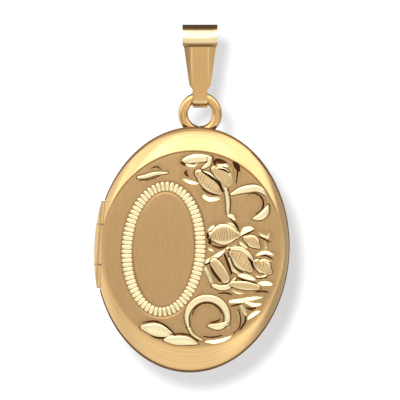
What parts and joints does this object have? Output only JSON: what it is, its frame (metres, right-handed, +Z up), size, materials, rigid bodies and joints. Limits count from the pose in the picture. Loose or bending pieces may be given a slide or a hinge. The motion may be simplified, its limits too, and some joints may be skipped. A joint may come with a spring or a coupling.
{
  "type": "locket",
  "caption": "Oval hinged photo locket on a ring and a folded chain bail, with an engraved opening front, picture frames and windows inside.",
  "frame": {"origin": "centre of the chain passage in the top roll of the bail", "axes": "+Z up the hanging bail, +X to the viewer's right facing the engraved front, -Y out of the engraved front"},
  "size_m": [0.0159, 0.004, 0.0283],
  "materials": {
    "polished_gold": "polished gold",
    "satin_gold": "satin gold with bright-cut engraving",
    "inner_gold": "plain bright gold",
    "window": "clear acetate sheet",
    "card": "blank ivory card"
  },
  "bodies": {
    "bail": {"bail": "polished_gold"},
    "back_half": {"hanging_ring": "polished_gold", "back_shell": "polished_gold", "back_rim": "inner_gold", "snap_bezel": "inner_gold", "back_knuckles": "polished_gold", "hinge_pin": "polished_gold", "back_picture": "card", "back_window": "window", "back_picture_frame": "inner_gold"},
    "front_half": {"front_shell": "satin_gold", "front_rim": "inner_gold", "front_knuckle": "polished_gold", "front_picture": "card", "front_window": "window", "front_picture_frame": "inner_gold"}
  },
  "joints": [
    {"name": "pendant_swing", "type": "hinge", "parent": "bail", "child": "back_half", "pos_m": [0, 0, -0.00458], "axis": [0.9984, 0, -0.0558], "range_deg": [-115, 125]},
    {"name": "cover_hinge", "type": "hinge", "parent": "back_half", "child": "front_half", "pos_m": [-0.00801, -0.00047, -0.01659], "axis": [-0.0558, 0, -0.9984], "range_deg": [0, 180]}
  ]
}
